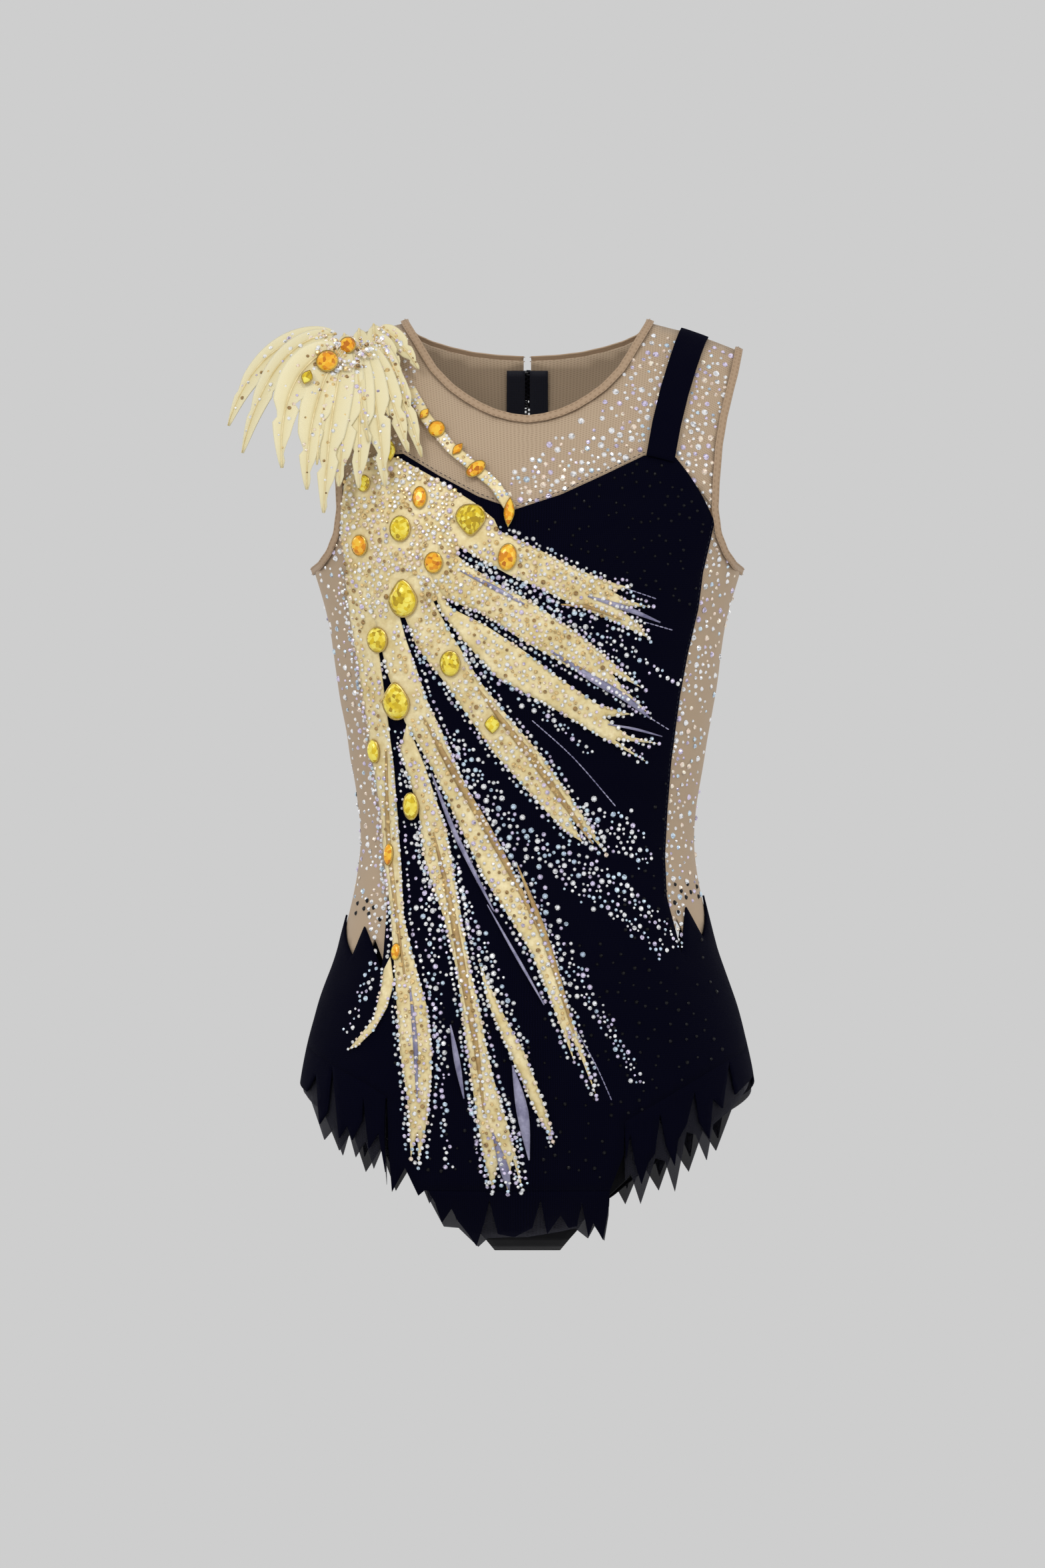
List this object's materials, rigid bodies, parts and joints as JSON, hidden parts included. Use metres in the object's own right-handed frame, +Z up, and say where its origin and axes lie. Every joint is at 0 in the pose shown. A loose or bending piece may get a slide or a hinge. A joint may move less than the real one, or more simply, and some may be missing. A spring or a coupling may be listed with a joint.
{
  "type": "competition leotard",
  "caption": "Sleeveless stretch leotard with sheer yoke and sides, fanned ray appliques, sewn stones, a feather shoulder epaulette and a jagged two-layer skirt.",
  "frame": {"origin": "centre of the wearer's waist, on the garment's centre line", "axes": "+Z up along the wearer's spine, -Y out of the front, +X to the wearer's left"},
  "size_m": [0.3232, 0.1892, 0.5738],
  "materials": {
    "navy_velvet": "soft stretch velvet with faint dark crystals",
    "nude_mesh": "fine matte stretch mesh",
    "nude_binding": "folded stretch binding with a stitch line",
    "black_lycra": "smooth stretch knit",
    "black_mesh": "sheer stretch mesh",
    "gold_applique": "satin applique with a matte gold print",
    "silver_applique": "satin applique with a pearl sheen",
    "cream_feather": "stiffened satin",
    "amber_stone": "cut and foiled",
    "zip_tape": "woven tape",
    "zip_coil": "moulded coil",
    "zip_metal": "smooth enamel",
    "cotton_lining": "plain knit"
  },
  "bodies": {
    "garment": {"front_bodice": "navy_velvet", "back_bodice_right": "navy_velvet", "back_bodice_left": "navy_velvet", "front_yoke_mesh": "nude_mesh", "back_yoke_right": "nude_mesh", "back_yoke_left": "nude_mesh", "side_mesh_right": "nude_mesh", "side_mesh_left": "nude_mesh", "shoulder_strap": "navy_velvet", "neck_binding": "nude_binding", "armhole_binding_right": "nude_binding", "armhole_binding_left": "nude_binding", "leg_bindings": "black_lycra", "brief_front": "black_lycra", "brief_back": "black_lycra", "gusset": "black_lycra", "gusset_lining": "cotton_lining", "ray_root": "gold_applique", "ray_1": "gold_applique", "ray_2": "gold_applique", "ray_3": "gold_applique", "ray_4": "gold_applique", "ray_5": "gold_applique", "ray_6": "gold_applique", "ray_7": "gold_applique", "ray_8": "gold_applique", "hip_leaf": "cream_feather", "silver_slivers": "silver_applique", "neckline_trim": "gold_applique", "epaulette_base": "gold_applique", "round_stones": "amber_stone", "oval_stones": "amber_stone", "pear_stones": "amber_stone", "navette_stones": "amber_stone", "zip_tapes": "zip_tape", "zip_teeth": "zip_coil"},
    "feathers_front": {"feather_1": "cream_feather", "feather_2": "cream_feather", "feather_3": "cream_feather", "feather_4": "cream_feather", "feather_5": "cream_feather", "feather_6": "cream_feather", "feather_7": "cream_feather", "feather_8": "cream_feather", "neck_leaves": "cream_feather"},
    "feathers_arm": {"arm_feathers": "cream_feather"},
    "flap_front_right": {"skirt_front_right": "navy_velvet", "underskirt_front_right": "black_mesh"},
    "flap_front_left": {"skirt_front_left": "navy_velvet", "underskirt_front_left": "black_mesh"},
    "flap_front_centre": {"skirt_front_centre": "navy_velvet", "underskirt_front_centre": "black_mesh"},
    "flap_back_right": {"skirt_back_right": "navy_velvet", "underskirt_back_right": "black_mesh"},
    "flap_back_left": {"skirt_back_left": "navy_velvet", "underskirt_back_left": "black_mesh"},
    "flap_back_centre": {"skirt_back_centre": "navy_velvet", "underskirt_back_centre": "black_mesh"},
    "zip_slider_body": {"zip_slider": "zip_metal"},
    "zip_pull_body": {"zip_pull": "zip_metal"}
  },
  "joints": [
    {"name": "flap_front_right_lift", "type": "hinge", "parent": "garment", "child": "flap_front_right", "pos_m": [-0.12432, -0.04572, -0.1345], "axis": [-0.5287, 0.7753, 0.3455], "range_deg": [0, 15], "stiffness_Nm_per_rad": 0.02},
    {"name": "flap_front_left_lift", "type": "hinge", "parent": "garment", "child": "flap_front_left", "pos_m": [0.11822, -0.05341, -0.14202], "axis": [-0.6379, -0.6593, -0.3981], "range_deg": [0, 15], "stiffness_Nm_per_rad": 0.02},
    {"name": "flap_front_centre_lift", "type": "hinge", "parent": "garment", "child": "flap_front_centre", "pos_m": [-0.00887, -0.06956, -0.2085], "axis": [-0.9999, 0.0161, 0.0001], "range_deg": [0, 25], "stiffness_Nm_per_rad": 0.02},
    {"name": "flap_back_right_lift", "type": "hinge", "parent": "garment", "child": "flap_back_right", "pos_m": [-0.11606, 0.06177, -0.13632], "axis": [0.6285, 0.7258, -0.2797], "range_deg": [0, 20], "stiffness_Nm_per_rad": 0.02},
    {"name": "flap_back_left_lift", "type": "hinge", "parent": "garment", "child": "flap_back_left", "pos_m": [0.11606, 0.06177, -0.13632], "axis": [0.6285, -0.7258, 0.2797], "range_deg": [0, 20], "stiffness_Nm_per_rad": 0.02},
    {"name": "flap_back_centre_lift", "type": "hinge", "parent": "garment", "child": "flap_back_centre", "pos_m": [0, 0.09947, -0.15564], "axis": [1, 0, 0], "range_deg": [0, 20], "stiffness_Nm_per_rad": 0.02},
    {"name": "feathers_front_lift", "type": "hinge", "parent": "garment", "child": "feathers_front", "pos_m": [-0.102, -0.03, 0.318], "axis": [-1, 0, 0], "range_deg": [0, 25], "stiffness_Nm_per_rad": 0.05},
    {"name": "feathers_arm_lift", "type": "hinge", "parent": "garment", "child": "feathers_arm", "pos_m": [-0.12, 0, 0.313], "axis": [0, 1, 0], "range_deg": [0, 30], "stiffness_Nm_per_rad": 0.03},
    {"name": "zip_slide", "type": "slide", "parent": "garment", "child": "zip_slider_body", "axis": [0, 0.3748, -0.9271], "range_m": [0, 0.025]},
    {"name": "zip_pull_swing", "type": "hinge", "parent": "zip_slider_body", "child": "zip_pull_body", "pos_m": [0, 0.05235, 0.29181], "axis": [1, 0, 0], "range_deg": [0, 120]}
  ]
}
